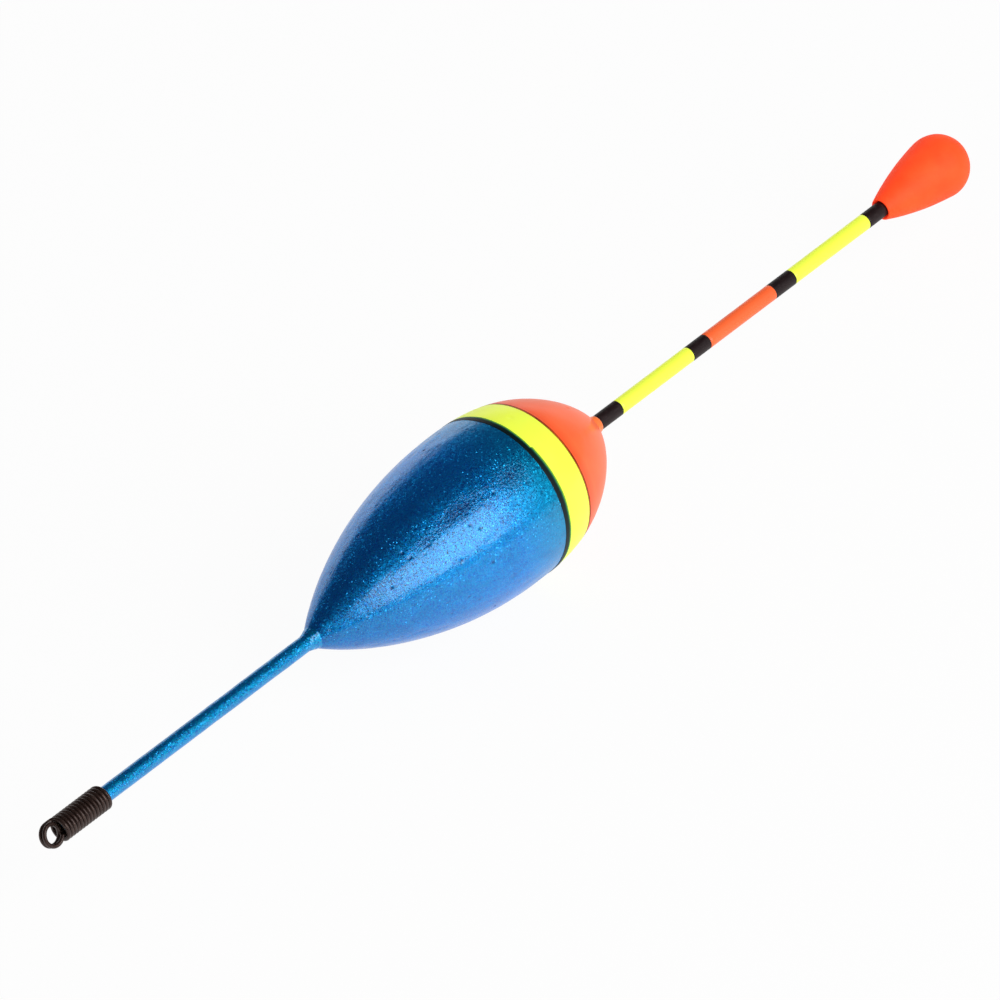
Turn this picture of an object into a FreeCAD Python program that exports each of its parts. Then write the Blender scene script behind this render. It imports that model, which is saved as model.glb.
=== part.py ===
"""Fishing float of the stick-and-body kind, built piece by piece as it is made.

The float lies along +X with its sight bulb at the far end, +Z up and the origin at the
centre of the line eye.  Sizes are in millimetres and are kept in the spreadsheet "Sizes".

A balsa body is bored right through.  A wooden keel stem is glued in its lower end, a bush
with a hollow antenna in its upper end.  Body and stem are dipped in lacquer, rings of colour
are painted over the shoulder and along the antenna, a close-wound spring with a double line
eye is pushed on the stem, and the sight bulb is pushed on the antenna, where it can slide.
"""
import FreeCAD, Part
import math
import os
import Sketcher
from FreeCAD import Placement, Rotation, Vector

SIZES = [
    # spring with the line eye
    ("wire_thickness", 0.58),
    ("coil_gap", 0.08),          # between the lacquered stem and the inside of the coil
    ("coil_pitch", 0.61),
    ("coil_turns", 13.45),
    ("coil_tail", 0.50),         # cut end of the wire, straight off the last turn
    ("eye_radius", 1.40),        # centre line of the loops, and where the coil begins
    ("eye_turns", 1.68),
    ("eye_pitch", 0.62),         # the loops lie almost against each other
    ("eye_lean", 64.0),          # degrees from level to the plane of the loops
    ("bend_reach", 0.45),        # how far the wire runs on as it leaves the coil
    ("bend_pull", 0.98),         # and how far out it lines up with the loops
    # keel stem
    ("body_at", 49.94),          # lower end of the body, from the centre of the eye
    ("keel_radius", 1.0),
    ("keel_lacquer", 0.10),
    ("keel_recess", 1.5),        # the stem stops this far inside the coil's mouth
    ("keel_tenon", 22.0),        # length of the stem inside the body
    ("glue_gap", 0.02),          # all round a piece that is glued in a bore
    ("fillet_below", 0.9),       # ring of pooled lacquer, down the stem
    ("fillet_above", 0.7),       # and up the body
    ("fillet_curve", 10.0),      # radius of its hollow surface
    # body
    ("body_length", 55.32),
    ("widest_radius", 11.34),
    ("widest_at", 34.0),
    ("crown_at", 38.0),          # where the long flank runs over into the crown
    ("lacquer", 0.30),           # coats of paint on the body
    ("core_start", 0.6),         # the balsa ends this far above the lacquer's lower end
    # rings of colour over the body's shoulder, from its upper end down
    ("cap_length", 12.88),
    ("upper_line", 0.45),
    ("yellow_length", 4.42),
    ("lower_line", 0.95),
    # bush in the top of the body
    ("bush_radius", 1.22),
    ("bush_above", 0.98),        # length that stands out of the body
    ("bush_seat", 4.5),          # length inside it
    ("bush_round", 0.12),
    # antenna and its rings of colour, from the bush up
    ("antenna_radius", 1.0),
    ("antenna_wall", 0.3),
    ("antenna_root", 16.0),      # length inside the body
    ("paint", 0.05),
    ("black_one", 4.09),
    ("yellow_one", 13.96),
    ("black_two", 3.42),
    ("orange_one", 12.90),
    ("black_three", 3.98),
    ("yellow_two", 14.65),
    ("black_four", 3.25),        # up to the mouth of the bulb, and on into its socket
    # sight bulb
    ("bulb_length", 15.53),
    ("bulb_radius", 4.20),
    ("bulb_flank", 46.0),        # radius of the long curve of its side
    ("rim_radius", 1.48),
    ("rim_round", 0.08),
    ("mouth_radius", 1.25),      # the socket flares to this at the rim
    ("mouth_depth", 1.6),
    ("socket_depth", 8.0),
    ("socket_clearance", 0.05),  # sliding fit on the painted antenna
    ("bulb_stop", 0.1),          # between the antenna's end and the end of the socket
]

COIL_AT = "Sizes.eye_radius"
STEM_AT = "Sizes.eye_radius + Sizes.keel_recess"
FOOT_RADIUS = "Sizes.keel_radius + Sizes.keel_lacquer"
PAINTED_RADIUS = "Sizes.antenna_radius + Sizes.paint"
BUSH_TOP = "Sizes.body_at + Sizes.body_length + Sizes.bush_above"
LAST_LENGTH = "Sizes.black_four + Sizes.socket_depth - Sizes.bulb_stop"

BLUE_LENGTH = ("Sizes.body_length - Sizes.cap_length - Sizes.upper_line"
               " - Sizes.yellow_length - Sizes.lower_line")

# name of the ring, and the size that gives its length
BODY_RINGS = [
    ("blue_lacquer", BLUE_LENGTH),
    ("lower_pinstripe", "Sizes.lower_line"),
    ("yellow_band", "Sizes.yellow_length"),
    ("upper_pinstripe", "Sizes.upper_line"),
    ("orange_cap", "Sizes.cap_length"),
]
ANTENNA_RINGS = [
    ("antenna_black_1", "Sizes.black_one"),
    ("antenna_yellow_1", "Sizes.yellow_one"),
    ("antenna_black_2", "Sizes.black_two"),
    ("antenna_orange", "Sizes.orange_one"),
    ("antenna_black_3", "Sizes.black_three"),
    ("antenna_yellow_2", "Sizes.yellow_two"),
    ("antenna_black_4", LAST_LENGTH),
]

doc = FreeCAD.newDocument("bobber_float")
pieces = []


def make_sheet():
    """Spreadsheet with one named cell for each driving dimension."""
    sheet = doc.addObject("Spreadsheet::Sheet", "Sizes")
    for row, (name, value) in enumerate(SIZES, start=1):
        sheet.set(f"A{row}", name)
        sheet.set(f"B{row}", str(value))
        sheet.setAlias(f"B{row}", name)
    doc.recompute()
    return sheet


sheet = make_sheet()


def value(expression):
    """Number that an expression on the sheet gives now."""
    result = sheet.evalExpression(expression)
    return float(getattr(result, "Value", result))


def place_along(thing, start, turned=None):
    """Puts a piece's own origin at a distance along the float's axis."""
    thing.Placement = Placement(Vector(value(start), 0, 0), turned or Rotation())
    thing.setExpression("Placement.Base.x", start)


def new_body(label, start):
    body = doc.addObject("PartDesign::Body", label)
    body.Label = label
    place_along(body, start)
    return body


def new_sketch(body, plane_role):
    """Sketch on one of the body's own origin planes."""
    plane = next(face for face in body.Origin.OriginFeatures if face.Role == plane_role)
    sketch = body.newObject("Sketcher::SketchObject", body.Label + "_sketch")
    sketch.AttachmentSupport = [(plane, "")]
    sketch.MapMode = "FlatFace"
    return sketch


def constrain(sketch, kind, *where, expression):
    """Adds a constraint whose size follows an expression on the sheet."""
    index = sketch.addConstraint(Sketcher.Constraint(kind, *where, value(expression)))
    sketch.setExpression(f"Constraints[{index}]", expression)


def pin(sketch, shape, point, along=None, out=None):
    """Fixes a point by its distances from the sketch's origin."""
    if along is not None:
        constrain(sketch, "DistanceX", -1, 1, shape, point, expression=along)
    if out is not None:
        constrain(sketch, "DistanceY", -1, 1, shape, point, expression=out)


def join(sketch, shape_a, point_a, shape_b, point_b):
    sketch.addConstraint(Sketcher.Constraint("Coincident", shape_a, point_a, shape_b, point_b))


def straight_run(sketch, corners):
    """Chain of lines through corners pinned by (along, out) expressions."""
    spots = [Vector(value(along), value(out), 0) for along, out in corners]
    lines = [sketch.addGeometry(Part.LineSegment(a, b)) for a, b in zip(spots, spots[1:])]
    for line, (along, out) in zip(lines, corners):
        pin(sketch, line, 1, along, out)
    for before, after in zip(lines, lines[1:]):
        join(sketch, before, 2, after, 1)
    pin(sketch, lines[-1], 2, *corners[-1])
    return lines


def revolve(body, sketch):
    turned = body.newObject("PartDesign::Revolution", body.Label + "_revolution")
    turned.Profile = sketch
    turned.ReferenceAxis = (sketch, ["H_Axis"])
    turned.Angle = 360
    return turned


def ring_edges(shape, along, radii):
    """Names of the round edges of these radii that lie at one place along the axis."""
    names = []
    for number, edge in enumerate(shape.Edges, start=1):
        box = edge.BoundBox
        flat = box.XLength < 1e-4 and abs(box.XMin - along) < 1e-4
        if flat and any(abs(box.YLength / 2 - radius) < 1e-3 for radius in radii):
            names.append(f"Edge{number}")
    return names


def round_edges(body, base, edges, radius):
    fillet = body.newObject("PartDesign::Fillet", body.Label + "_fillet")
    fillet.Base = (base, edges)
    fillet.setExpression("Radius", radius)
    body.Tip = fillet


def sleeve(label, start, length, outer, inner=None):
    """Round rod, or a tube where an inner radius is given, padded along the axis."""
    body = new_body(label, start)
    sketch = new_sketch(body, "YZ_Plane")
    for radius in (outer, inner):
        if radius is None:
            continue
        circle = sketch.addGeometry(Part.Circle(Vector(), Vector(0, 0, 1), value(radius)))
        join(sketch, circle, 3, -1, 1)
        constrain(sketch, "Radius", circle, expression=radius)
    pad = body.newObject("PartDesign::Pad", label + "_pad")
    pad.Profile = sketch
    pad.setExpression("Length", length)
    return body, pad


# ---- outline of the body: a long flank arc and a crown arc, with the lacquer inside it ----

def arc_between(centre, radius, right, left):
    """Arc bulging outwards: it starts at its right-hand end and ends at its left."""
    circle = Part.Circle(centre, Vector(0, 0, 1), radius)
    first = math.atan2(right.y - centre.y, right.x - centre.x)
    last = math.atan2(left.y - centre.y, left.x - centre.x)
    return Part.ArcOfCircle(circle, first, last)


def body_arcs(inward):
    """Where flank and crown lie, for an outline sunk this far under the surface."""
    widest = Vector(value("Sizes.widest_at"), value("Sizes.widest_radius"), 0)
    foot = Vector(0, value(FOOT_RADIUS), 0)
    top = Vector(value("Sizes.body_length"), value("Sizes.bush_radius"), 0)
    rise = widest.y - foot.y
    flank_radius = (widest.x ** 2 + rise ** 2) / (2 * rise)
    flank_centre = widest - Vector(0, flank_radius, 0)
    reach = value("Sizes.crown_at") - widest.x
    outwards = Vector(reach, math.sqrt(flank_radius ** 2 - reach ** 2), 0) / flank_radius
    joint = flank_centre + outwards * flank_radius
    chord = top - joint
    crown_radius = -chord.Length ** 2 / (2 * chord.dot(outwards))
    crown_centre = joint - outwards * crown_radius
    joint = joint - outwards * inward
    flank = (flank_centre, flank_radius - inward)
    crown = (crown_centre, crown_radius - inward)
    return flank, crown, foot, joint, top


def height_on(arc, along):
    centre, radius = arc
    return centre.y + math.sqrt(radius ** 2 - (along - centre.x) ** 2)


def reach_on(arc, out):
    centre, radius = arc
    return centre.x + math.sqrt(radius ** 2 - (out - centre.y) ** 2)


def flank_arc(sketch, shift, right, construction=False):
    """Flank from the foot of the body up, level at the widest point."""
    (centre, radius), _, foot, _, _ = body_arcs(0)
    moved = Vector(value(shift), 0, 0)
    curve = arc_between(centre + moved, radius, right + moved, foot + moved)
    flank = sketch.addGeometry(curve, construction)
    widest = sketch.addGeometry(Part.Point(centre + moved + Vector(0, radius, 0)), True)
    pin(sketch, widest, 1, "Sizes.widest_at + " + shift, "Sizes.widest_radius")
    pin(sketch, flank, 2, shift, FOOT_RADIUS)
    sketch.addConstraint(Sketcher.Constraint("PointOnObject", widest, 1, flank))
    sketch.addConstraint(Sketcher.Constraint("Vertical", flank, 3, widest, 1))
    return flank


def surface_arcs(sketch, construction=False):
    """Outer surface of the painted body: flank, and crown that meets the bush."""
    _, (centre, radius), _, joint, top = body_arcs(0)
    flank = flank_arc(sketch, "0", joint, construction)
    pin(sketch, flank, 1, "Sizes.crown_at")
    crown = sketch.addGeometry(arc_between(centre, radius, top, joint), construction)
    sketch.addConstraint(Sketcher.Constraint("Tangent", flank, 1, crown, 2))
    pin(sketch, crown, 1, "Sizes.body_length", "Sizes.bush_radius")
    return flank, crown


def balsa_arcs(sketch, surface, end_radius):
    """Surface of the bare balsa: the same arcs, one thickness of lacquer further in."""
    flank_curve, crown_curve, _, joint, _ = body_arcs(value("Sizes.lacquer"))
    start = value("Sizes.core_start")
    low = Vector(start, height_on(flank_curve, start), 0)
    high = Vector(reach_on(crown_curve, value(end_radius)), value(end_radius), 0)
    flank = sketch.addGeometry(arc_between(*flank_curve, joint, low))
    crown = sketch.addGeometry(arc_between(*crown_curve, high, joint))
    widest = sketch.addGeometry(Part.Point(flank_curve[0] + Vector(0, flank_curve[1], 0)), True)
    pin(sketch, widest, 1, "Sizes.widest_at", "Sizes.widest_radius - Sizes.lacquer")
    sketch.addConstraint(Sketcher.Constraint("PointOnObject", widest, 1, flank))
    join(sketch, flank, 3, surface[0], 3)
    join(sketch, crown, 3, surface[1], 3)
    sketch.addConstraint(Sketcher.Constraint("Tangent", flank, 1, crown, 2))
    pin(sketch, flank, 2, along="Sizes.core_start")
    pin(sketch, crown, 1, out=end_radius)
    return flank, crown


def link(sketch, shape_a, point_a, shape_b, point_b):
    """Line from one end of a shape to an end of another, joined at both."""
    start = sketch.getPoint(shape_a, point_a)
    end = sketch.getPoint(shape_b, point_b)
    line = sketch.addGeometry(Part.LineSegment(start, end))
    join(sketch, line, 1, shape_a, point_a)
    join(sketch, line, 2, shape_b, point_b)
    return line


# ---- keel stem -------------------------------------------------------------------------

def make_keel():
    """Round wooden stem, from inside the spring to the end of its tenon in the body."""
    reach = f"Sizes.body_at - ({STEM_AT})"
    stem, _ = sleeve("keel_stem", STEM_AT, reach + " + Sizes.keel_tenon", "Sizes.keel_radius")
    coat, _ = sleeve("keel_lacquer", STEM_AT, reach, FOOT_RADIUS, "Sizes.keel_radius")
    return [stem, coat]


def make_keel_fillet():
    """Ring of lacquer pooled in the corner between stem and body, with a hollow surface."""
    body = new_body("keel_fillet", "Sizes.body_at - Sizes.fillet_below")
    sketch = new_sketch(body, "XY_Plane")
    shift = "Sizes.fillet_below"
    upper = value("Sizes.fillet_above")
    high = Vector(upper, height_on(body_arcs(0)[0], upper), 0)
    flank = flank_arc(sketch, shift, high)
    pin(sketch, flank, 1, along="Sizes.fillet_below + Sizes.fillet_above")
    along_stem = straight_run(sketch, [("0", FOOT_RADIUS), (shift, FOOT_RADIUS)])[0]
    low = Vector(0, value(FOOT_RADIUS), 0)
    high = high + Vector(value(shift), 0, 0)
    chord = high - low
    radius = value("Sizes.fillet_curve")
    outwards = Vector(-chord.y, chord.x, 0) / chord.Length
    centre = (low + high) / 2 + outwards * math.sqrt(radius ** 2 - chord.Length ** 2 / 4)
    hollow = sketch.addGeometry(arc_between(centre, radius, low, high))
    join(sketch, hollow, 1, along_stem, 1)
    join(sketch, hollow, 2, flank, 1)
    constrain(sketch, "Radius", hollow, expression="Sizes.fillet_curve")
    revolve(body, sketch)
    return body


# ---- body ------------------------------------------------------------------------------

def bore(body, name, radius, start, length=None):
    """Round hole cut upwards along the axis, right through where no length is given."""
    sketch = new_sketch(body, "YZ_Plane")
    sketch.setExpression("AttachmentOffset.Base.z", start)
    circle = sketch.addGeometry(Part.Circle(Vector(), Vector(0, 0, 1), value(radius)))
    join(sketch, circle, 3, -1, 1)
    constrain(sketch, "Radius", circle, expression=radius)
    pocket = body.newObject("PartDesign::Pocket", name)
    pocket.Profile = sketch
    pocket.Reversed = True
    if length is None:
        pocket.Type = "ThroughAll"
    else:
        pocket.setExpression("Length", length)


def make_balsa():
    """Balsa core, bored through for keel and antenna and counterbored for the bush."""
    body = new_body("balsa_body", "Sizes.body_at")
    sketch = new_sketch(body, "XY_Plane")
    surface = surface_arcs(sketch, construction=True)
    flank, crown = balsa_arcs(sketch, surface, "Sizes.antenna_radius")
    top = sketch.getPoint(crown, 1)
    bottom = Vector(value("Sizes.core_start"), 0, 0)
    down = sketch.addGeometry(Part.LineSegment(top, Vector(top.x, 0, 0)))
    along = sketch.addGeometry(Part.LineSegment(Vector(top.x, 0, 0), bottom))
    join(sketch, down, 1, crown, 1)
    join(sketch, along, 1, down, 2)
    sketch.addConstraint(Sketcher.Constraint("Vertical", down))
    sketch.addConstraint(Sketcher.Constraint("PointOnObject", down, 2, -1))
    pin(sketch, along, 2, "Sizes.core_start", "0")
    link(sketch, along, 2, flank, 2)
    revolve(body, sketch)
    doc.recompute()

    keel_end = "Sizes.keel_tenon + Sizes.glue_gap"
    bush_floor = "Sizes.body_length - Sizes.bush_seat"
    bore(body, "keel_bore", "Sizes.keel_radius + Sizes.glue_gap", "0", keel_end)
    bore(body, "antenna_bore", "Sizes.antenna_radius + Sizes.glue_gap", keel_end)
    bore(body, "bush_bore", "Sizes.bush_radius + Sizes.glue_gap", bush_floor)
    return body


def make_paint_coat():
    """All the lacquer and paint on the body in one shell, which the rings are cut from."""
    body = new_body("paint_coat", "Sizes.body_at")
    sketch = new_sketch(body, "XY_Plane")
    surface = surface_arcs(sketch)
    inner = balsa_arcs(sketch, surface, "Sizes.bush_radius")
    foot = straight_run(sketch, [
        ("Sizes.core_start", "Sizes.keel_radius"),
        ("0", "Sizes.keel_radius"),
    ])
    link(sketch, foot[-1], 2, surface[0], 2)
    link(sketch, surface[1], 1, inner[1], 1)
    link(sketch, inner[0], 2, foot[0], 1)
    revolve(body, sketch)
    return body


def make_body_rings():
    """Cuts the coat across into its zones of colour, each a piece of its own."""
    coat = make_paint_coat()
    across = Rotation(Vector(0, 1, 0), 90)
    start = "Sizes.body_at"
    rings = []
    for label, length in BODY_RINGS:
        slab = doc.addObject("Part::Cylinder", label + "_slab")
        slab.setExpression("Radius", "Sizes.widest_radius + Sizes.lacquer")
        slab.setExpression("Height", length)
        place_along(slab, start, across)
        ring = doc.addObject("Part::Common", label)
        ring.Label = label
        ring.Base = coat
        ring.Tool = slab
        rings.append(ring)
        start = f"{start} + {length}"
    return rings


# ---- bush and antenna ------------------------------------------------------------------

def make_bush():
    """Collar glued in the top of the body, with a rounded upper edge."""
    start = "Sizes.body_at + Sizes.body_length - Sizes.bush_seat"
    bore = "Sizes.antenna_radius + Sizes.glue_gap"
    length = "Sizes.bush_seat + Sizes.bush_above"
    bush, pad = sleeve("antenna_bush", start, length, "Sizes.bush_radius", bore)
    doc.recompute()
    top = ring_edges(pad.Shape, value(length), [value("Sizes.bush_radius")])
    round_edges(bush, pad, top, "Sizes.bush_round")
    return bush


def make_antenna():
    """Thin plastic tube, with its rings of colour as sleeves of paint on it."""
    tube_start = "Sizes.body_at + Sizes.body_length - Sizes.antenna_root"
    inner = "Sizes.antenna_radius - Sizes.antenna_wall"
    start = BUSH_TOP
    rings = []
    for label, length in ANTENNA_RINGS:
        ring, _ = sleeve(label, start, length, PAINTED_RADIUS, "Sizes.antenna_radius")
        rings.append(ring)
        start = f"{start} + {length}"
    tube_length = f"{start} - ({tube_start})"
    tube, _ = sleeve("antenna_tube", tube_start, tube_length, "Sizes.antenna_radius", inner)
    return [tube] + rings


# ---- sight bulb ------------------------------------------------------------------------

def bulb_at():
    """Mouth of the bulb when it is pushed home."""
    painted = " + ".join(length for _, length in ANTENNA_RINGS[:-1])
    return f"{BUSH_TOP} + {painted} + Sizes.black_four"


def make_bulb():
    """Drop-shaped bulb: a slender flank that swells into a round end, with a flared socket."""
    body = new_body("sight_bulb", bulb_at())
    sketch = new_sketch(body, "XY_Plane")
    length = value("Sizes.bulb_length")
    end_radius = value("Sizes.bulb_radius")
    flank_radius = value("Sizes.bulb_flank")
    rim = Vector(0, value("Sizes.rim_radius"), 0)
    end_centre = Vector(length - end_radius, 0, 0)
    chord = rim - end_centre
    # the flank's centre is flank_radius from the rim and tangent inside to the round end
    gap = flank_radius - end_radius
    along = (gap ** 2 - flank_radius ** 2 + chord.Length ** 2) / (2 * chord.Length)
    aside = math.sqrt(gap ** 2 - along ** 2)
    unit = chord / chord.Length
    flank_centre = end_centre + unit * along + Vector(-unit.y, unit.x, 0) * aside
    joint = end_centre + (end_centre - flank_centre) * (end_radius / gap)
    flank = sketch.addGeometry(arc_between(flank_centre, flank_radius, joint, rim))
    end = sketch.addGeometry(arc_between(end_centre, end_radius, Vector(length, 0, 0), joint))
    pin(sketch, flank, 2, "0", "Sizes.rim_radius")
    constrain(sketch, "Radius", flank, expression="Sizes.bulb_flank")
    sketch.addConstraint(Sketcher.Constraint("Tangent", flank, 1, end, 2))
    sketch.addConstraint(Sketcher.Constraint("PointOnObject", end, 3, -1))
    constrain(sketch, "Radius", end, expression="Sizes.bulb_radius")
    pin(sketch, end, 1, "Sizes.bulb_length", "0")
    bore = f"{PAINTED_RADIUS} + Sizes.socket_clearance"
    socket = straight_run(sketch, [
        ("Sizes.socket_depth", "0"),
        ("Sizes.socket_depth", bore),
        ("Sizes.mouth_depth", bore),
        ("0", "Sizes.mouth_radius"),
    ])
    link(sketch, end, 1, socket[0], 1)
    link(sketch, socket[-1], 2, flank, 2)
    turned = revolve(body, sketch)
    doc.recompute()
    rim_sizes = [value("Sizes.rim_radius"), value("Sizes.mouth_radius")]
    round_edges(body, turned, ring_edges(turned.Shape, 0, rim_sizes), "Sizes.rim_round")
    return body


# ---- spring with the line eye ----------------------------------------------------------

def make_spring_eye():
    """Close-wound spring of one wire, whose far end is bent up into a double loop.

    It is wound in its own frame: X along the stem, Y to the side where the wire leaves the
    coil, Z through the loops.  The wire runs round the two loops, swings aside, turns into
    the first turn of the coil and ends in a short cut tail.
    """
    wire_radius = value("Sizes.wire_thickness") / 2
    coil_radius = value(FOOT_RADIUS) + value("Sizes.coil_gap") + wire_radius
    coil_pitch = value("Sizes.coil_pitch")
    eye_radius = value("Sizes.eye_radius")
    eye_pitch = value("Sizes.eye_pitch")
    eye_width = eye_pitch * value("Sizes.eye_turns")

    coil = Part.makeHelix(coil_pitch, coil_pitch * value("Sizes.coil_turns"), coil_radius)
    along_stem = Rotation(Vector(0, 1, 0), Vector(0, 0, 1), Vector(1, 0, 0), "ZXY")
    coil.Placement = Placement(Vector(value(COIL_AT), 0, 0), along_stem)
    first_turn = Vector(value(COIL_AT), coil_radius, 0)

    # the loops begin straight above the eye's centre and lie half to each side of it
    loops = Part.makeHelix(eye_pitch, eye_width, eye_radius)
    above = Rotation(Vector(0, 1, 0), Vector(-1, 0, 0), Vector(0, 0, 1), "ZXY")
    loops.Placement = Placement(Vector(0, 0, -eye_width / 2), above)
    loop_start = Vector(0, eye_radius, -eye_width / 2)

    coil_slope = coil_pitch / (2 * math.pi * coil_radius)
    loop_slope = eye_pitch / (2 * math.pi * eye_radius)
    leaves_coil = Vector(-coil_slope, 0, -1).normalize()
    enters_loop = Vector(-1, 0, loop_slope).normalize()
    swing = Part.BezierCurve()
    swing.setPoles([
        first_turn,
        first_turn + leaves_coil * value("Sizes.bend_reach"),
        loop_start - enters_loop * value("Sizes.bend_pull"),
        loop_start,
    ])

    coil_edge = coil.Edges[-1]
    cut = coil_edge.valueAt(coil_edge.LastParameter)
    onwards = coil_edge.tangentAt(coil_edge.LastParameter)
    tail = Part.LineSegment(cut, cut + onwards * value("Sizes.coil_tail"))

    edges = [tail.toShape()] + coil.Edges + [swing.toShape()] + loops.Edges
    path = Part.Wire(Part.__sortEdges__(edges))
    section = Part.Wire(Part.makeCircle(wire_radius, tail.EndPoint, onwards))
    sweep = Part.BRepOffsetAPI.MakePipeShell(path)
    sweep.setFrenetMode(False)
    sweep.add(section)
    sweep.build()
    sweep.makeSolid()

    spring = doc.addObject("Part::Feature", "spring_eye")
    spring.Label = "spring_eye"
    spring.Shape = sweep.shape()
    spring.Placement = Placement(Vector(), Rotation(Vector(1, 0, 0), value("Sizes.eye_lean")))
    return spring


# ---- the float, in the order in which it is put together -------------------------------

pieces.append(make_balsa())
pieces += make_keel()
pieces += make_body_rings()
pieces.append(make_keel_fillet())
pieces.append(make_bush())
pieces += make_antenna()
pieces.append(make_spring_eye())
pieces.append(make_bulb())
doc.recompute()

for thing in doc.Objects:
    if "Invalid" in thing.State or "Error" in thing.State:
        raise RuntimeError(f"{thing.Label} did not recompute: {thing.State}")
for piece in pieces:
    if piece.Shape.isNull() or not piece.Shape.isValid() or len(piece.Shape.Solids) != 1:
        raise RuntimeError(f"{piece.Label} is not one sound solid")

os.makedirs("parts", exist_ok=True)
for piece in pieces:
    piece.Shape.exportStep(f"parts/{piece.Label}.step")
    box = piece.Shape.BoundBox
    print(f"{piece.Label}: x {box.XMin:.2f} to {box.XMax:.2f}, volume {piece.Shape.Volume:.2f}")
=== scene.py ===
import math
import random

import bmesh
import bpy
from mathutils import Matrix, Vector, kdtree, noise


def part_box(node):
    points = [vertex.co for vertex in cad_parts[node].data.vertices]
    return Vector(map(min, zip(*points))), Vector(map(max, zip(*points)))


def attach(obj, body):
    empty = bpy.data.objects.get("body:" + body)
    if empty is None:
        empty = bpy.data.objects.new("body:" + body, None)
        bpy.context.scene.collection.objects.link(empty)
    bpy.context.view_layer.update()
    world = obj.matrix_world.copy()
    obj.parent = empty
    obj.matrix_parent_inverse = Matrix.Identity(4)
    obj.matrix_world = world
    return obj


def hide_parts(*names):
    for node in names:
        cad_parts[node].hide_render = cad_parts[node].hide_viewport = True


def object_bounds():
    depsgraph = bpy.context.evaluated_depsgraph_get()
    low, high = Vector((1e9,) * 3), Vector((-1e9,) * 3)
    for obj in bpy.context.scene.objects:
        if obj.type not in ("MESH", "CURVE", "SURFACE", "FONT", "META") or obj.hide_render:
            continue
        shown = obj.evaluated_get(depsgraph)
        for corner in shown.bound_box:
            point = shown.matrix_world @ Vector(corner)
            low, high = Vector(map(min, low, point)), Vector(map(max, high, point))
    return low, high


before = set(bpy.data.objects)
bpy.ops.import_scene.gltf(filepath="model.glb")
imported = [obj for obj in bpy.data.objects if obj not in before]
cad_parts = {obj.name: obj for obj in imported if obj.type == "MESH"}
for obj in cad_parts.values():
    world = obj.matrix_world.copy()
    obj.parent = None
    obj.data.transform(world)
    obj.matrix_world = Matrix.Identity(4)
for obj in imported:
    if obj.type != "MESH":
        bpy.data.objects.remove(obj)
cad_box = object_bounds()


# ---- Balsa body ------------------------------------------------------------------------
# Turned from light balsa and bored through for the stem and the antenna.  It is sealed
# under the paint, so it keeps its own shape and gets pale wood with pores along the grain.

class Finish:
    """A material being mixed: its Principled shader, and short ways to add and set nodes."""

    def __init__(self, name):
        self.material = bpy.data.materials.new(name)
        self.material.use_nodes = True
        self.tree = self.material.node_tree
        self.shader = self.tree.nodes["Principled BSDF"]

    def give(self, socket, wanted):
        """Links a socket to another one, or gives it a fixed value (colours are opaque)."""
        if isinstance(wanted, bpy.types.NodeSocket):
            self.tree.links.new(wanted, socket)
        elif socket.type == "RGBA":
            socket.default_value = (*wanted, 1)
        else:
            socket.default_value = wanted

    def set(self, node, **sockets):
        """Gives each named socket of a node a value or a link."""
        for name, wanted in sockets.items():
            self.give(node.inputs[name.replace("_", " ")], wanted)

    def add(self, kind, settings=None, **sockets):
        """A new shader node of a kind, with its settings and its sockets set."""
        node = self.tree.nodes.new("ShaderNode" + kind)
        for name, choice in (settings or {}).items():
            setattr(node, name, choice)
        self.set(node, **sockets)
        return node

    def place(self, stretch=(1, 1, 1)):
        """Object coordinates with each axis scaled: less than 1 makes a pattern longer."""
        spot = self.add("TexCoord").outputs["Object"]
        return self.add("Mapping", Vector=spot, Scale=stretch).outputs["Vector"]

    def noise(self, size, stretch=(1, 1, 1), detail=3.0, roughness=0.5):
        """Cloudy noise whose blotches are about this many metres across, from 0 to 1."""
        cloud = self.add("TexNoise", Vector=self.place(stretch), Scale=1 / size,
                         Detail=detail, Roughness=roughness)
        return cloud.outputs["Fac"]

    def cells(self, size):
        """Small flat cells of this size, each with a random colour."""
        flat = self.add("TexVoronoi", Vector=self.place(), Scale=1 / size)
        return flat.outputs["Color"]

    def ramp(self, factor, *stops):
        """Colours or greys laid along a factor, as (position, colour) pairs."""
        ramp = self.add("ValToRGB", Fac=factor)
        marks = ramp.color_ramp.elements
        while len(marks) < len(stops):
            marks.new(0.5)
        for mark, (position, colour) in zip(marks, stops):
            mark.position = position
            mark.color = (*colour, 1) if isinstance(colour, tuple) else (colour,) * 3 + (1,)
        return ramp.outputs["Color"]

    def mix(self, factor, first, second, blend="MIX"):
        """Two colours, each a socket or fixed, mixed by a factor."""
        mixed = self.add("Mix", {"data_type": "RGBA", "blend_type": blend})
        self.give(mixed.inputs[0], factor)
        self.give(mixed.inputs[6], first)
        self.give(mixed.inputs[7], second)
        return mixed.outputs[2]

    def math(self, operation, first, second=0.0):
        """Sum, product and the like of two sockets or fixed numbers."""
        result = self.add("Math", {"operation": operation})
        self.give(result.inputs[0], first)
        self.give(result.inputs[1], second)
        return result.outputs[0]

    def vector(self, operation, *wanted, scale=None):
        """Vector sum, difference and the like of sockets or fixed vectors."""
        result = self.add("VectorMath", {"operation": operation})
        for socket, given in zip(result.inputs, wanted):
            self.give(socket, given)
        if scale is not None:
            self.set(result, Scale=scale)
        return result.outputs[0]

    def bump(self, height, depth, strength=1.0):
        """Normals of a surface raised by a height from 0 to 1 times a depth in metres."""
        node = self.add("Bump", Height=height, Distance=depth, Strength=strength)
        return node.outputs["Normal"]

    def blend(self, share, first, second):
        """Two shaders blended: a share of the second in the first."""
        both = self.add("MixShader", Fac=share)
        self.give(both.inputs[1], first)
        self.give(both.inputs[2], second)
        return both.outputs[0]


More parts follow.
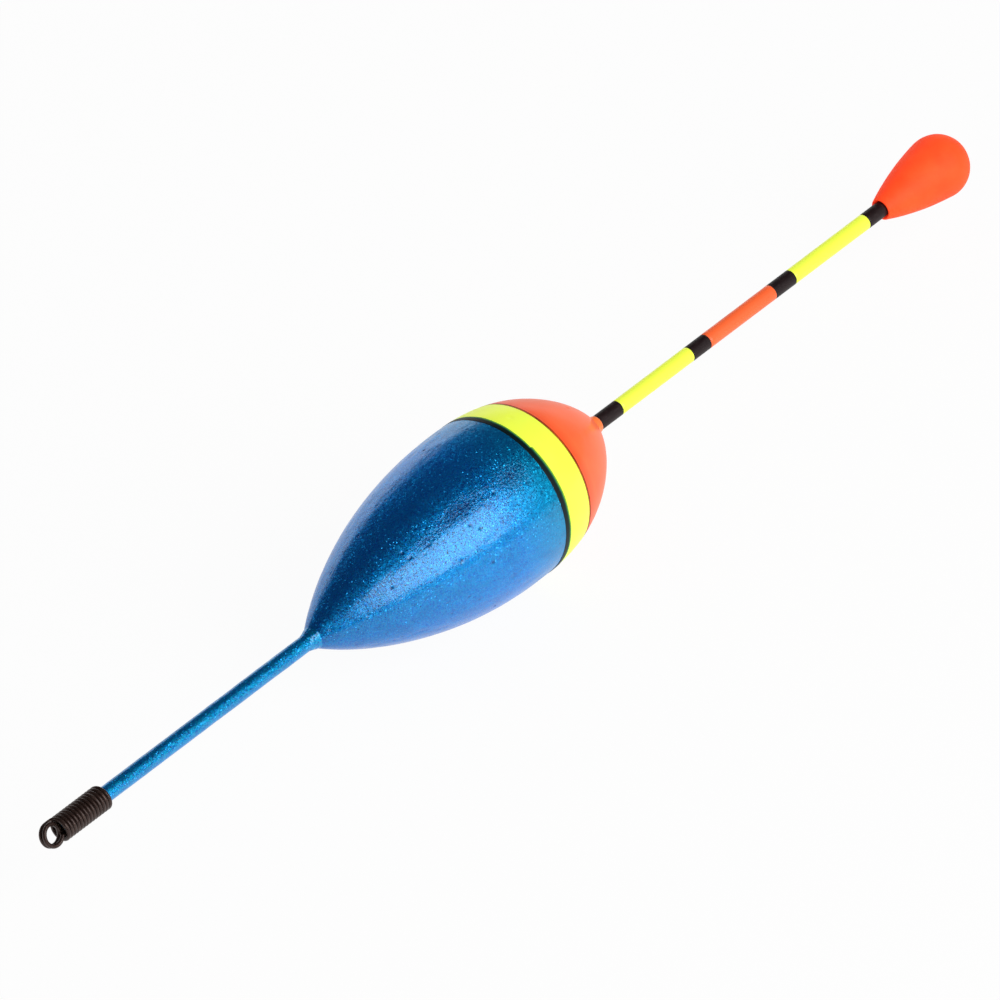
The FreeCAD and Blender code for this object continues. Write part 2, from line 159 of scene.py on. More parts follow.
def paint(node, finish):
    """Gives a CAD piece its finish in its own material slots."""
    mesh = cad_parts[node].data
    mesh.materials.clear()
    mesh.materials.append(finish.material)


MM = 0.001
ALONG_GRAIN = (0.08, 1, 1)          # stretches a pattern lengthwise

balsa = Finish("bare_balsa")
pores = balsa.noise(0.35 * MM, ALONG_GRAIN, detail=4)
years = balsa.noise(2.5 * MM, ALONG_GRAIN)
pale = balsa.ramp(years, (0.3, (0.72, 0.58, 0.40)), (0.7, (0.84, 0.72, 0.54)))
pore_shade = balsa.ramp(pores, (0.55, 0.0), (0.75, 0.6))
balsa.set(balsa.shader,
          Base_Color=balsa.mix(pore_shade, pale, (0.42, 0.30, 0.18)),
          Roughness=0.8,
          Normal=balsa.bump(pores, 0.05 * MM))
paint("balsa_body", balsa)


# ---- Keel stem -------------------------------------------------------------------------
# A hardwood dowel glued into the lower end of the body.  Lacquer covers it, and only its
# cut end is bare, inside the spring.

dowel = Finish("hardwood_dowel")
fibres = dowel.noise(0.2 * MM, ALONG_GRAIN, detail=4)
dowel.set(dowel.shader,
          Base_Color=dowel.ramp(fibres, (0.35, (0.45, 0.28, 0.14)), (0.7, (0.70, 0.50, 0.30))),
          Roughness=0.65,
          Normal=dowel.bump(fibres, 0.03 * MM))
paint("keel_stem", dowel)


# ---- Blue lacquer ----------------------------------------------------------------------
# The body is dipped in clear blue lacquer full of fine metal flake, over balsa that was
# only roughly filled: pores, dents and a torn patch of grain show through the gloss.

# Pits, dents and the torn grain are darkened with painted shade.
foot_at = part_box("blue_lacquer")[0].x
blue_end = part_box("blue_lacquer")[1].x
top_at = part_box("orange_cap")[1].x
foot_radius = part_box("keel_lacquer")[1].z
widest_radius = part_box("blue_lacquer")[1].z
neck_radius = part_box("antenna_bush")[1].z
widest_at = foot_at + 34 * MM
crown_at = foot_at + 38 * MM
skin = 0.25 * MM                     # thickness that the painted shells are given

# the flank arc is level at the widest place, and the crown arc touches it at crown_joint
rise = widest_radius - foot_radius
flank_curve = ((widest_at - foot_at) ** 2 + rise ** 2) / (2 * rise)
flank_centre = Vector((widest_at, widest_radius - flank_curve))
to_crown = math.sqrt(flank_curve ** 2 - (crown_at - widest_at) ** 2)
outwards = Vector((crown_at - widest_at, to_crown)) / flank_curve
crown_joint = flank_centre + outwards * flank_curve
crown_chord = Vector((top_at, neck_radius)) - crown_joint
crown_curve = -crown_chord.length_squared / (2 * crown_chord.dot(outwards))
crown_centre = crown_joint - outwards * crown_curve


def body_radius(along):
    """Radius of the painted body: a long flank arc, then the tighter crown arc."""
    on_flank = along < crown_at
    centre, curve = (flank_centre, flank_curve) if on_flank else (crown_centre, crown_curve)
    return centre.y + math.sqrt(max(curve ** 2 - (along - centre.x) ** 2, 0))


def steps_between(start, end, count):
    """Evenly spaced places from start to end, both included."""
    return [start + (end - start) * step / count for step in range(count + 1)]


def shell_outline(start, end, count):
    """Closed outline of a coat on the body: its outer surface, and back under it."""
    outer = [(along, body_radius(along)) for along in steps_between(start, end, count)]
    inner = [(along, max(body_radius(along) - skin, foot_radius * 0.95))
             for along in steps_between(end, start, 14)]
    return outer + inner


def outer_skin(shape):
    """The vertices of a coat that lie on its outer surface."""
    return [vertex for vertex in shape.verts
            if vertex.co.yz.length > body_radius(vertex.co.x) - skin / 2]


def turned(outline, turns):
    """Closed outline of (along, out) points spun about the axis of the float."""
    shape = bmesh.new()
    points = [shape.verts.new((along, out, 0)) for along, out in outline]
    edges = [shape.edges.new(pair) for pair in zip(points, points[1:] + points[:1])]
    bmesh.ops.spin(shape, geom=points + edges, axis=(1, 0, 0), cent=(0, 0, 0),
                   angle=math.tau, steps=turns, use_merge=True)
    bmesh.ops.remove_doubles(shape, verts=shape.verts, dist=0.001 * MM)
    bmesh.ops.recalc_face_normals(shape, faces=shape.faces)
    return shape


def make_piece(name, shape, finish, slot, *nodes, body="float"):
    """Turns a finished mesh into a shown piece that stands for its CAD nodes."""
    mesh = bpy.data.meshes.new(name)
    for face in shape.faces:
        face.smooth = True
    shape.to_mesh(mesh)
    shape.free()
    mesh.set_sharp_from_angle(angle=math.radians(50))
    mesh.materials.append(finish.material)
    piece = bpy.data.objects.new(name, mesh)
    bpy.context.scene.collection.objects.link(piece)
    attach(piece, body)
    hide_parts(*nodes)
    return piece


def around(point):
    """Angle of a point about the axis of the float, from +Y towards +Z."""
    return math.atan2(point.z, point.y)


def on_body(along, angle):
    """The point of the body's surface at a place along the float and an angle about it."""
    radius = body_radius(along)
    return Vector((along, radius * math.cos(angle), radius * math.sin(angle)))


def sink(along, angle, size, depth, stretch=1.0, painted_shade=1.0):
    """Presses a smooth hollow into the lacquer, longer along the grain by the stretch.
    Sizes are in millimetres from the foot, the angle in degrees, and the last number, from 0 to 1,
    is how much painted shade the hollow gets, more where it is deeper.
    """
    spot = on_body(foot_at + along * MM, math.radians(angle))
    for _, index, _ in shape_tree.find_range(spot, size * stretch * MM):
        vertex = shape.verts[index]
        away = vertex.co - spot
        reach = math.sqrt((away.x / stretch) ** 2 + away.y ** 2 + away.z ** 2) / (size * MM)
        if reach < 1:
            fall = (1 - reach * reach) ** 2
            vertex.co -= vertex.normal * depth * MM * fall
            # painted shade: the deeper the hollow, the darker it is coloured
            shade = painted_shade * fall * min(1.0, depth / fully_dark)
            vertex[pit_shade_layer] = max(vertex[pit_shade_layer], shade)


chance = random.Random(7)
fully_dark = 0.06                    # a hollow this deep, in millimetres, gets its full painted shade
blue_span = (blue_end - foot_at) / MM
shape = turned(shell_outline(foot_at, blue_end + 0.2 * MM, 210), 420)
pit_shade_layer = shape.verts.layers.float.new("pit")        # how much painted shade a hollow has
torn_layer = shape.verts.layers.float.new("torn")      # how much the grain is torn there
shape.verts.ensure_lookup_table()
shape.normal_update()
for vertex in outer_skin(shape):
    place = vertex.co / MM
    swell = noise.noise(Vector((place.x * 0.10, place.y * 0.22, place.z * 0.22)))
    grain = noise.noise(Vector((place.x * 0.35, place.y * 1.6, place.z * 1.6)))
    if vertex.co.x > foot_at + 0.1 * MM:          # the foot itself fits the stem
        vertex.co += vertex.normal * (swell * 0.030 + grain * 0.010 - 0.03) * MM
shape_tree = kdtree.KDTree(len(shape.verts))
for index, vertex in enumerate(shape.verts):
    shape_tree.insert(vertex.co, index)
shape_tree.balance()

for pore in range(170):              # open pores and pinholes, scattered
    sink(chance.uniform(2, blue_span - 1), chance.uniform(0, 360), chance.uniform(0.16, 0.32),
         chance.uniform(0.02, 0.06), chance.uniform(1.0, 1.8), painted_shade=0.6)
for dent in range(60):               # long shallow dents along the grain
    sink(chance.uniform(4, blue_span - 3), chance.uniform(0, 360), chance.uniform(0.4, 0.9),
         chance.uniform(0.02, 0.04), chance.uniform(2, 4), painted_shade=0.25)
for along, angle in ((19.7, 150), (23.8, 164), (24.1, 138), (23.1, 132), (10.2, 137),
                     (13.9, 116), (14.2, 124), (17.1, 125), (32.1, 120), (29.1, 60),
                     (33.3, 54), (28.5, 124), (25, 209)):
    sink(along, angle, 0.32, 0.09, 1.3)   # the deepest pinholes
torn_at, torn_angle = 23.2, 119
# patches of torn grain, where the material crumbles the lacquer: the place, angle, length,
# width in degrees and strength of the largest one, and of two smaller ones
torn_patches = ((torn_at, torn_angle, 3.2, 6, 1.0), (32.0, 122, 2.6, 9, 0.6),
                (17.5, 121, 2.5, 4, 0.5))
for vertex in outer_skin(shape):
    along, angle = (vertex.co.x - foot_at) / MM, math.degrees(around(vertex.co))
    for middle, turn, length, width, strength in torn_patches:
        reach = ((along - middle) / length) ** 2 + ((angle - turn) / width) ** 2
        vertex[torn_layer] = max(vertex[torn_layer], strength * math.exp(-reach))
for tear in range(35):               # larger hollows lie among the crumbs
    sink(torn_at + chance.gauss(0, 2.2), torn_angle + chance.gauss(0, 3),
         chance.uniform(0.14, 0.26), chance.uniform(0.02, 0.05), chance.uniform(1.2, 2.4))


def flake_lacquer(name, cyan, flop, dull, painted_light_from=None, teal_from=None, teal_to=None):
    """Blue metal-flake lacquer: glittering flakes at all angles under a clear blue coat.
    Cyan is the green in flat flakes, flop the blue seen off their gloss and dull how rough
    most of them are.  The rest, a seventh, lean most and are brighter and sharper glints.
    Along the body the blue can carry painted light, darker at the foot and lighter towards its end
    where the highlight is brighter, and turn teal at its end.
    """
    lacquer = Finish(name)
    flake = lacquer.cells(0.13 * MM)
    chosen = lacquer.add("TexWhiteNoise", Vector=flake).outputs["Value"]
    tone = lacquer.ramp(chosen, (0.0, (0.0, cyan, 0.83)), (0.5, (0.0, 0.8 * cyan, 0.78)),
                        (0.85, (0.0, 0.19, 0.70)), (0.86, (0.03, 0.42, 0.90)))
    if teal_from is not None:
        along = lacquer.add("SeparateXYZ", Vector=lacquer.place()).outputs["X"]
        # painted light: the blue is darkened at the foot and lightened towards the band
        painted_light = lacquer.add("MapRange", Value=along, From_Min=painted_light_from, From_Max=teal_to,
                            To_Min=0.74, To_Max=1.28).outputs["Result"]
        tone = lacquer.mix(1.0, tone, painted_light, "MULTIPLY")
        near_end = lacquer.add("MapRange", Value=along, From_Min=teal_from, From_Max=teal_to)
        tone = lacquer.mix(near_end.outputs["Result"], tone, (0.0, 0.46, 0.66))
    cloud = lacquer.noise(1.8 * MM, (0.5, 1, 1), detail=4, roughness=0.6)
    tone = lacquer.mix(1.0, tone, lacquer.ramp(cloud, (0.3, 0.78), (0.7, 1.0)), "MULTIPLY")
    # painted shade: pits, dents and the crumbs of torn grain are coloured a near-black blue
    pit = lacquer.add("Attribute", {"attribute_name": "pit"}).outputs["Fac"]
    torn = lacquer.add("Attribute", {"attribute_name": "torn"}).outputs["Fac"]
    crumbs = lacquer.noise(0.3 * MM, (0.7, 1, 1), detail=4)
    crumbs = lacquer.math("MULTIPLY", lacquer.ramp(crumbs, (0.42, 0.0), (0.56, 1.0)), torn)
    hollow = lacquer.math("MAXIMUM", pit, lacquer.math("MULTIPLY", crumbs, 0.9))
    tone = lacquer.mix(lacquer.math("MULTIPLY", hollow, 0.9), tone, (0.0, 0.02, 0.07))
    ripple = lacquer.noise(1.5 * MM, (0.35, 1, 1), detail=4)
    skin_normal = lacquer.bump(lacquer.math("SUBTRACT", ripple, crumbs), 0.08 * MM)
    steepness = lacquer.ramp(chosen, (0.0, 0.20), (0.6, 0.36), (0.85, 0.54), (0.86, 0.90))
    dullness = lacquer.ramp(chosen, (0.85, dull), (0.86, 0.34))
    lean = lacquer.vector("SUBTRACT", flake, (0.5, 0.5, 0.5))
    lean = lacquer.vector("SCALE", lean, scale=steepness)
    facing = lacquer.vector("NORMALIZE", lacquer.vector("ADD", skin_normal, lean))
    lacquer.set(lacquer.shader, Base_Color=tone, Metallic=0.97, Roughness=dullness,
                Specular_Tint=(0.35, 0.66, 0.85), Sheen_Weight=flop, Sheen_Roughness=0.9,
                Sheen_Tint=(0.0, 0.03, 1.0), Coat_Weight=1.0, Coat_Roughness=0.22,
                Coat_IOR=1.5, Coat_Tint=(0.8, 0.95, 1.0), Coat_Normal=skin_normal,
                Normal=facing)
    return lacquer


# the body's blue carries painted light: darker at the foot, lighter towards the band
body_lacquer = flake_lacquer("blue_flake_lacquer", cyan=0.43, flop=0.25, dull=0.50,
                             painted_light_from=foot_at, teal_from=blue_end - 8 * MM,
                             teal_to=blue_end + 1 * MM)
make_piece("body_lacquer", shape, body_lacquer, "blue_lacquer", "blue_lacquer")


# ---- Lacquer on the stem ---------------------------------------------------------------
# The same dip runs down over the dowel.  The thin rod is not quite even under it, and in
# the corner below the body the lacquer has pooled in a lumpy ring.

stem_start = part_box("keel_lacquer")[0].x
stem_lacquer = flake_lacquer("blue_flake_lacquer_stem", cyan=0.55, flop=0.18, dull=0.52)
places = steps_between(stem_start, foot_at, 240)
stem_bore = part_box("keel_stem")[1].z
shape = turned([(along, foot_radius) for along in places]
               + [(along, stem_bore) for along in reversed(places)], 48)
for vertex in shape.verts:
    place = vertex.co / MM
    if Vector(vertex.co.yz).length > foot_radius * 0.98:
        lump = noise.noise(Vector((place.x * 0.5, place.y, place.z)))
        fine = noise.noise(Vector((place.x * 2.2, place.y * 2.2, place.z * 2.2)))
        vertex.co.yz *= 1 + lump * 0.018 + fine * 0.010 - 0.012
make_piece("stem_lacquer", shape, stem_lacquer, "blue_lacquer", "keel_lacquer")

ring_start, ring_end = (corner.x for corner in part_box("keel_fillet"))
ring_low = foot_radius * 0.97
ring_rise = body_radius(ring_end) - foot_radius
places = steps_between(ring_start, ring_end, 20)
upper = [(along, foot_radius + ring_rise * ((along - ring_start) / (ring_end - ring_start)) ** 1.2)
         for along in places]
lower = [(along, max(ring_low, body_radius(max(along, foot_at)) - 0.15 * MM))
         for along in reversed(places)]
shape = turned(upper + lower, 96)
for vertex in shape.verts:
    place = vertex.co / MM
    lump = noise.noise(Vector((place.x * 2.6, place.y * 2.6, place.z * 2.6 + 5)))
    vertex.co.yz *= 1 + lump * 0.06 - 0.01
make_piece("stem_lacquer_ring", shape, stem_lacquer, "blue_lacquer", "keel_fillet")


# ---- Lower line ------------------------------------------------------------------------
# A thin black ring drawn with a brush while the float turns, over the edge between blue
# and yellow.  Its upper side wavers, runs out in green over the yellow, and has one step
# where the brush was set down again.

line_low, line_high = (corner.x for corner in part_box("lower_pinstripe"))
drawn = Finish("black_line_paint")
across = drawn.add("Attribute", {"attribute_name": "across"}).outputs["Fac"]
ragged = drawn.math("ADD", across, drawn.math("MULTIPLY", drawn.noise(0.5 * MM), 0.12))
drawn.set(drawn.shader,
          Base_Color=drawn.ramp(ragged, (0.0, (0.0, 0.05, 0.07)), (0.12, (0.0, 0.008, 0.010)),
                                (0.64, (0.0, 0.010, 0.010)), (0.82, (0.0, 0.15, 0.08)),
                                (1.0, (0.30, 0.62, 0.02))),
          Roughness=0.5, Specular_IOR_Level=0.25,
          Normal=drawn.bump(drawn.noise(0.4 * MM), 0.02 * MM))
brush_set_down = math.radians(115)   # angle at which the brush was lifted and set down


def brush_waver(angle):
    """How far the upper side of the line strays at an angle, in metres."""
    slow = noise.noise(Vector((math.cos(angle) * 1.2, math.sin(angle) * 1.2, 3)))
    quick = noise.noise(Vector((math.cos(angle) * 5, math.sin(angle) * 5, 8)))
    since_step = (angle - brush_set_down) % math.tau
    step = 0.2 * math.exp(-since_step / 0.5)
    return (slow * 0.2 + quick * 0.07 + step) * MM


line_steps = 12
line_places = steps_between(line_low - 0.02 * MM, line_high + 0.10 * MM, line_steps)
film = 0.02 * MM                     # the line stands proud by half of this
under = 0.12 * MM                    # and reaches this far under the two coats it covers
outline = [(along, body_radius(along) - film / 2 + film * min(1, step, line_steps - step))
           for step, along in enumerate(line_places)]
outline += [(along, body_radius(along) - under) for along in reversed(line_places)]
shape = turned(outline, 420)
across_layer = shape.verts.layers.float.new("across")
line_width = line_places[-1] - line_places[0]
for vertex in shape.verts:
    share = (vertex.co.x - line_places[0]) / line_width
    vertex[across_layer] = share
    vertex.co.x += brush_waver(around(vertex.co)) * share ** 1.5
make_piece("lower_line", shape, drawn, "black_paint", "lower_pinstripe")


# ---- Yellow band, upper line and orange cap --------------------------------------------
# Fluorescent paint over a white ground, sprayed against masks: the yellow ring over the
# shoulder, and the orange cap on top.  Where the orange overlaps the yellow its edge dries
# to a thin dark line.  The paint is smooth, with dust specks and a few small knocks.

def bright_paint(name, full, shaded, glow, roughness, coat, edge=None, deep=None):
    """Fluorescent paint: a strong colour, mottled a little, with a slight painted glow of its own
    that lifts its shaded side.
    It can be deep in colour just above an edge at a given place along the float.
    """
    made = Finish(name)
    cloud = made.noise(3.0 * MM, detail=4)
    speck = made.ramp(made.noise(0.32 * MM, detail=2), (0.66, 0.0), (0.74, 0.35))
    tone = made.mix(made.ramp(cloud, (0.35, 0.0), (0.7, 1.0)), full, shaded)
    if edge is not None:
        along = made.add("SeparateXYZ", Vector=made.place()).outputs["X"]
        near = made.add("MapRange", Value=along, From_Min=edge, From_Max=edge + 1.6 * MM,
                        To_Min=1.0, To_Max=0.0).outputs["Result"]
        tone = made.mix(near, tone, deep)
    # the emission is a painted glow, which brightens the paint where it is in shade
    made.set(made.shader, Base_Color=made.mix(speck, tone, tuple(c * 0.8 for c in full)),
             Roughness=roughness, Coat_Weight=coat, Coat_Roughness=0.12,
             Emission_Color=full, Emission_Strength=glow,
             Normal=made.bump(made.noise(0.7 * MM, detail=4), 0.012 * MM))
    return made


yellow_low, yellow_high = (corner.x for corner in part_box("yellow_band"))
yellow = bright_paint("fluorescent_yellow", (0.86, 1.0, 0.06), (0.82, 0.96, 0.07),
                      glow=0.3, roughness=0.45, coat=0.15)
cap_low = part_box("orange_cap")[0].x
cap_orange = bright_paint("fluorescent_orange_cap", (1.0, 0.125, 0.025), (1.0, 0.145, 0.03),
                          glow=0.22, roughness=0.5, coat=0.2,
                          edge=cap_low, deep=(0.92, 0.075, 0.008))


def knock(shape, along, angle, size, depth):
    """Small dent in painted balsa."""
    spot = on_body(along, angle)
    for vertex in shape.verts:
        reach = (vertex.co - spot).length / size
        if reach < 1:
            vertex.co -= vertex.normal * depth * (1 - reach * reach) ** 2


def painted_ring(name, start, end, count, finish, slot, node, knocks=()):
    """Ring of paint over the shoulder, gently uneven as sanded balsa is.
    Each knock has its place along the float, its angle in degrees, and its size and depth
    in millimetres.
    """
    shape = turned(shell_outline(start, end, count), 360)
    shape.normal_update()
    for vertex in outer_skin(shape):
        place = vertex.co / MM
        swell = noise.noise(Vector((place.x * 0.16, place.y * 0.22, place.z * 0.22)))
        vertex.co += vertex.normal * (swell * 0.02 - 0.02) * MM
    for along, angle, size, depth in knocks:
        knock(shape, along, math.radians(angle), size * MM, depth * MM)
    return make_piece(name, shape, finish, slot, node)


# the yellow runs a little way under both lines
painted_ring("yellow_paint", yellow_low - 0.15 * MM, yellow_high + 0.1 * MM, 34, yellow,
             "yellow_paint", "yellow_band",
             [(yellow_low + 2.1 * MM, 88, 0.6, 0.04), (yellow_low + 3.0 * MM, 210, 0.7, 0.05)])

overlap = Finish("orange_overlap_line")
overlap.set(overlap.shader,
            Base_Color=overlap.ramp(overlap.noise(1.5 * MM), (0.35, (0.22, 0.025, 0.0)),
                                    (0.65, (0.50, 0.08, 0.005))),
            Roughness=0.5, Specular_IOR_Level=0.25)
line_low, line_high = (corner.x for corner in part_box("upper_pinstripe"))
painted_ring("upper_line", line_low, line_high, 6, overlap, "brown_paint", "upper_pinstripe")

painted_ring("orange_paint", cap_low, top_at, 90, cap_orange, "orange_paint", "orange_cap",
             [(top_at - 5.7 * MM, 96, 0.5, 0.10), (top_at - 8 * MM, 60, 0.8, 0.05),
              (top_at - 5 * MM, 300, 0.7, 0.05)])


# ---- Bush ------------------------------------------------------------------------------
# The small plastic collar in which the antenna stands.  It was dipped with the cap, so the
# orange paint runs up it in a thick uneven skin.

bush_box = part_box("antenna_bush")
bush_top = bush_box[1].x
tube_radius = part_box("antenna_tube")[1].z
lip_at = bush_top - 0.28 * MM        # from here up the collar is rounded over to the tube
lip_rise, lip_inset = 0.24 * MM, 0.22 * MM
outline = [(bush_box[0].x, tube_radius), (bush_box[0].x, neck_radius), (lip_at, neck_radius)]
outline += [(lip_at + lip_rise * math.sin(turn), neck_radius - lip_inset * (1 - math.cos(turn)))
            for turn in steps_between(0.2, math.pi / 2, 6)]
outline += [(lip_at + lip_rise, tube_radius)]
shape = turned(outline, 64)
for vertex in shape.verts:
    place = vertex.co / MM
    if vertex.co.x > top_at - 0.3 * MM and vertex.co.yz.length > tube_radius * 1.1:
        vertex.co.yz *= 1 + noise.noise(place * 1.4) * 0.04 - 0.03
bush_paint = bright_paint("orange_bush_paint", (1.0, 0.22, 0.05), (1.0, 0.18, 0.04),
                          glow=0.22, roughness=0.4, coat=0.5)
make_piece("antenna_collar", shape, bush_paint, "orange_bush", "antenna_bush")


# ---- Antenna ---------------------------------------------------------------------------
# A thin hollow plastic tube, dipped and masked into rings of black, yellow and orange.
# Each coat ends in a small rounded edge, and the black is satin with fine scuffs.

tube = Finish("antenna_plastic")
tone = tube.ramp(tube.noise(1.5 * MM), (0.3, (0.78, 0.76, 0.70)), (0.7, (0.86, 0.85, 0.80)))
tube.set(tube.shader,
         Base_Color=tone,
         Roughness=0.4, Subsurface_Weight=0.1,
         Normal=tube.bump(tube.noise(0.4 * MM, (0.2, 1, 1)), 0.01 * MM))
paint("antenna_tube", tube)

black = Finish("satin_black")
scuffs = black.ramp(black.noise(0.25 * MM, (0.25, 1, 1), detail=4), (0.5, 0.0), (0.8, 1.0))
black.set(black.shader,
          Base_Color=black.mix(scuffs, (0.016, 0.007, 0.008), (0.032, 0.018, 0.019)),
          Roughness=black.math("ADD", 0.5, black.math("MULTIPLY", scuffs, 0.15)),
          Specular_IOR_Level=0.3,
          Normal=black.bump(scuffs, 0.01 * MM))
orange = bright_paint("fluorescent_orange", (1.0, 0.13, 0.025), (1.0, 0.15, 0.03),
                      glow=0.22, roughness=0.5, coat=0.2)
ring_paints = {
    "black": (black, "black_paint"),
    "yellow": (yellow, "yellow_paint"),
    "orange": (orange, "orange_paint"),
}
edge = 0.03 * MM
rings = [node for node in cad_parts
         if node.startswith("antenna_") and node.split("_")[1] in ring_paints]
for node in rings:
    finish, slot = ring_paints[node.split("_")[1]]
    (start, _, _), (end, _, radius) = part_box(node)
    outer = [(start, radius - edge), (start + edge, radius)]
    outer += [(along, radius) for along in steps_between(start, end, 24)[1:-1]]
    outer += [(end - edge, radius), (end, radius - edge)]
    shape = turned(outer + [(end, tube_radius), (start, tube_radius)], 56)
    for vertex in shape.verts:
        place = vertex.co / MM
        if vertex.co.yz.length > radius * 0.99:
            swell = noise.noise(Vector((place.x * 0.6, place.y, place.z)))
            vertex.co.yz *= 1 + swell * 0.006 - 0.006
    make_piece(node + "_paint", shape, finish, slot, node)


# ---- Spring with the line eye ----------------------------------------------------------
# One length of spring wire, wound close round the stem, its end turned up into a double
# loop for the line.  It is blackened: dull brown-black where handled, grey on worn crests.

wire = Finish("blackened_wire")
drawn_marks = wire.noise(0.12 * MM, detail=4)
worn = wire.ramp(wire.noise(0.9 * MM, detail=4), (0.52, 0.0), (0.72, 1.0))
wire.set(wire.shader,
         Base_Color=wire.mix(worn, (0.042, 0.020, 0.015), (0.095, 0.058, 0.046)),
         Metallic=0.6, Roughness=wire.math("ADD", 0.38, wire.math("MULTIPLY", drawn_marks, 0.2)),
         Coat_Weight=0.3, Coat_Roughness=0.15,
         Normal=wire.bump(drawn_marks, 0.015 * MM))
paint("spring_eye", wire)


# ---- Sight bulb ------------------------------------------------------------------------
# A hollow-looking drop of fluorescent plastic, moulded with a flared mouth and pushed on
# the end of the antenna.  Its skin is matte, with the faint grain of the mould.

bulb_start, bulb_end = (corner.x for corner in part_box("sight_bulb"))
bulb_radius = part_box("sight_bulb")[1].z
ring_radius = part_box("antenna_black_4")[1].z
rim_radius = 1.48 * MM
mouth_radius = 1.25 * MM
socket_radius = ring_radius + 0.05 * MM
mouth_end = bulb_start + 1.6 * MM    # the socket flares from here out to its mouth
socket_end = bulb_start + 8 * MM
bulb_flank = 46 * MM                 # radius of the long curve of its side

# the flank's centre is one flank radius from the rim, and the flank touches the round end
end_centre = Vector((bulb_end - bulb_radius, 0))
rim_chord = Vector((bulb_start, rim_radius)) - end_centre
apart = bulb_flank - bulb_radius
along_chord = (apart ** 2 - bulb_flank ** 2 + rim_chord.length_squared) / (2 * rim_chord.length)
beside_chord = math.sqrt(apart ** 2 - along_chord ** 2)
unit = rim_chord.normalized()
bulb_centre = end_centre + unit * along_chord + Vector((-unit.y, unit.x)) * beside_chord
bulb_joint = end_centre + (end_centre - bulb_centre) * (bulb_radius / apart)

outline = [(along, bulb_centre.y + math.sqrt(bulb_flank ** 2 - (along - bulb_centre.x) ** 2))
           for along in steps_between(bulb_start + 0.09 * MM, bulb_joint.x, 60)]
joint_turn = math.acos((bulb_joint.x - end_centre.x) / bulb_radius)
outline += [(end_centre.x + bulb_radius * math.cos(turn), bulb_radius * math.sin(turn))
            for turn in steps_between(joint_turn, 0, 48)[1:]]
outline += [(socket_end, 0), (socket_end, socket_radius), (mouth_end, socket_radius)]
outline += [(bulb_start + 0.06 * MM, mouth_radius - 0.02 * MM),
            (bulb_start, mouth_radius + 0.06 * MM),
            (bulb_start, rim_radius - 0.08 * MM)]
shape = turned(outline, 160)
shape.normal_update()
for vertex in shape.verts:
    if vertex.co.yz.length > socket_radius * 1.3:
        place = vertex.co / MM
        uneven = noise.noise(place * 0.3) * 0.03 + noise.noise(place * 1.3) * 0.008
        vertex.co += vertex.normal * (uneven - 0.03) * MM

bulb = Finish("bulb_plastic")
mould = bulb.noise(0.22 * MM, detail=3)
cloud = bulb.ramp(bulb.noise(4 * MM, detail=3), (0.35, 0.0), (0.7, 1.0))
# the red emission is a painted glow, which brightens the bulb's shaded side
bulb.set(bulb.shader,
         Base_Color=bulb.mix(cloud, (1.0, 0.095, 0.013), (1.0, 0.125, 0.020)),
         Roughness=0.6, Specular_IOR_Level=0.3,
         Subsurface_Weight=0.15, Subsurface_Radius=(0.002, 0.0006, 0.0003),
         Emission_Color=(1.0, 0.018, 0.004), Emission_Strength=0.45,
         Normal=bulb.bump(mould, 0.012 * MM))
make_piece("bulb_skin", shape, bulb, "bulb_plastic", "sight_bulb", body="bulb")


# ---- Floor, light and camera -----------------------------------------------------------
# The float lies level on a white sheet.  A wide soft box stands on the near side and leans
# over it.  The gloss shows a backdrop that is bright low down on the far side, and above it
# a dark room.

floor_at = cad_box[0].z - 0.1 * MM   # just clear of the float
floor_shape = bmesh.new()
bmesh.ops.create_grid(floor_shape, x_segments=1, y_segments=1, size=6)
bmesh.ops.translate(floor_shape, vec=(0, 0, floor_at), verts=floor_shape.verts)
floor_mesh = bpy.data.meshes.new("floor")
floor_shape.to_mesh(floor_mesh)
floor_shape.free()
floor = bpy.data.objects.new("floor", floor_mesh)
bpy.context.scene.collection.objects.link(floor)

sheet = Finish("white_sheet")
path = sheet.add("LightPath")
mirrored = sheet.math("MAXIMUM", path.outputs["Is Glossy Ray"], path.outputs["Is Transmission Ray"])
seen = sheet.math("MAXIMUM", path.outputs["Is Camera Ray"], mirrored)
paper = sheet.noise(40 * MM)
sheet.set(sheet.shader, Base_Color=sheet.ramp(paper, (0.3, 0.92), (0.7, 0.94)), Roughness=0.9)
glow = sheet.add("Emission", Color=(1, 1, 1), Strength=1.0)
sheet.set(sheet.tree.nodes["Material Output"],
          Surface=sheet.blend(sheet.math("MULTIPLY", seen, 0.95),
                              sheet.shader.outputs[0], glow.outputs[0]))
floor_mesh.materials.append(sheet.material)


class Surroundings(Finish):
    """The world round the float, mixed in the same way: its shader is a background."""

    def __init__(self, name):
        self.world = bpy.data.worlds.new(name)
        self.world.use_nodes = True
        self.tree = self.world.node_tree
        self.shader = self.tree.nodes["Background"]


studio = Surroundings("studio")
bpy.context.scene.world = studio.world
rays = studio.add("LightPath")
direction = studio.add("SeparateXYZ", Vector=studio.add("TexCoord").outputs["Generated"])


def fade(axis, dark_at, bright_at):
    """From 0 to 1 as a direction's part along an axis goes from one value to another."""
    between = studio.add("MapRange", {"interpolation_type": "SMOOTHSTEP"},
                         Value=direction.outputs[axis], From_Min=dark_at, From_Max=bright_at)
    return between.outputs["Result"]


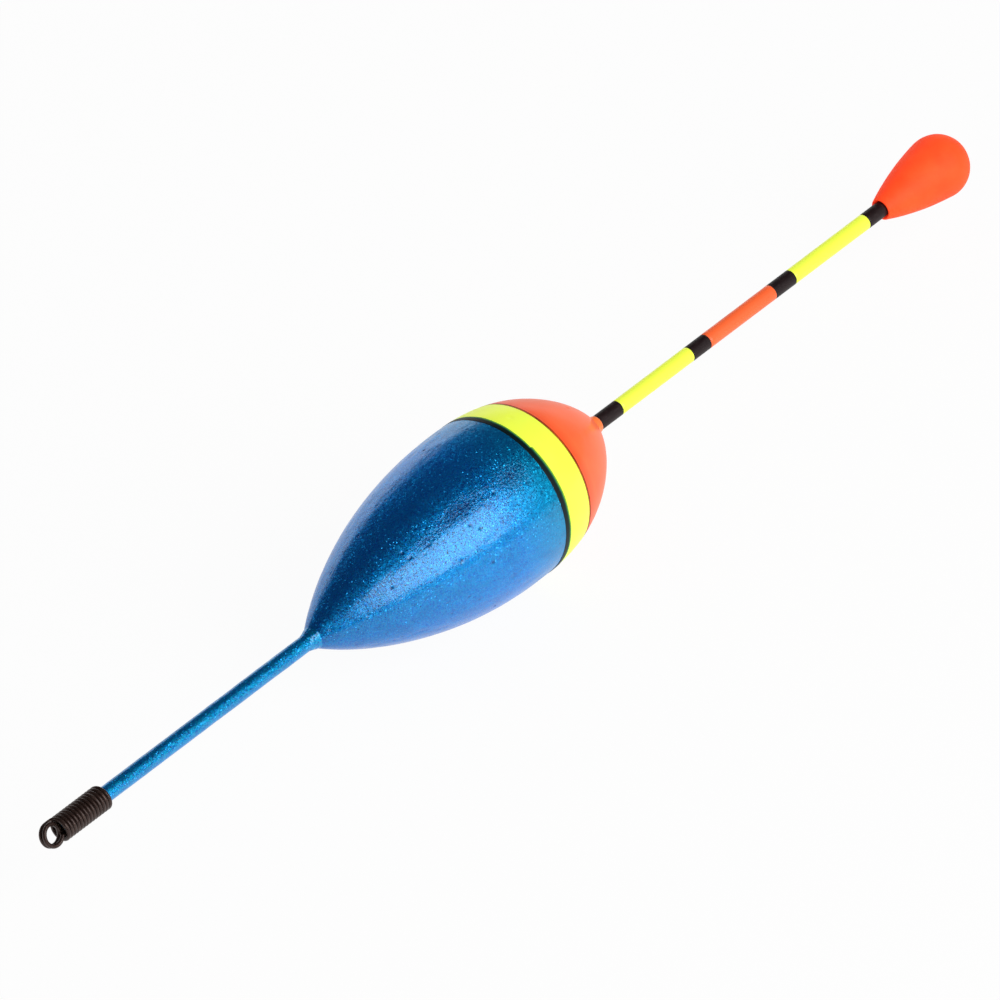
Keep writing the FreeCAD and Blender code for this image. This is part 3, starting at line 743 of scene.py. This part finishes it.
def seen_by(ray, radiance, otherwise):
    """World that shows one even grey to one kind of ray, and something else to the rest."""
    plain = studio.add("Background", Color=(radiance, radiance, radiance))
    return studio.blend(rays.outputs[ray], otherwise, plain.outputs[0])


backdrop_light, room_light, fill_light = 1.7, 0.015, 0.36
low_and_far = studio.math("MULTIPLY", fade("Z", 0.34, 0.02), fade("Y", -0.1, 0.4))
backdrop = studio.math("MULTIPLY", low_and_far, backdrop_light)
studio.set(studio.shader, Color=(1, 1, 1), Strength=studio.math("ADD", backdrop, room_light))
surroundings = seen_by("Is Diffuse Ray", fill_light, studio.shader.outputs[0])
surroundings = seen_by("Is Camera Ray", 1.0, surroundings)
studio.set(studio.tree.nodes["World Output"], Surface=surroundings)

# the middle of the view: a point by the body, a little below its axis as the camera sees it
down_the_view = Vector((0, -0.782, -0.623))
target = Vector((foot_at + 36.95 * MM, 0, 0)) + 0.325 * MM * down_the_view


def soft_lamp(name, towards, distance, width, height, power):
    """Soft box seen from the float in a given direction, facing it."""
    lamp = bpy.data.lights.new(name, "AREA")
    lamp.shape = "RECTANGLE"
    lamp.size, lamp.size_y = width, height
    lamp.energy = power
    stand = bpy.data.objects.new(name, lamp)
    away = Vector(towards).normalized()
    stand.location = target + away * distance
    stand.rotation_euler = away.to_track_quat("Z", "Y").to_euler()
    bpy.context.scene.collection.objects.link(stand)


soft_lamp("soft_box", (0.08, -0.80, 0.56), distance=0.8, width=0.62, height=0.68, power=4.7)

camera_data = bpy.data.cameras.new("camera")
camera_data.lens = 1600
camera_data.sensor_width = 36
camera_data.clip_end = 20
camera = bpy.data.objects.new("camera", camera_data)
bpy.context.scene.collection.objects.link(camera)
bpy.context.scene.camera = camera
turn, tilt = math.radians(-50.44), math.radians(38.56)
back = Vector((math.sin(turn) * math.cos(tilt), -math.cos(turn) * math.cos(tilt), math.sin(tilt)))
frame_width = 125 * MM
camera.location = target + back * frame_width * camera_data.lens / camera_data.sensor_width
camera.rotation_euler = back.to_track_quat("Z", "Y").to_euler()
bpy.context.scene.view_settings.view_transform = "Standard"
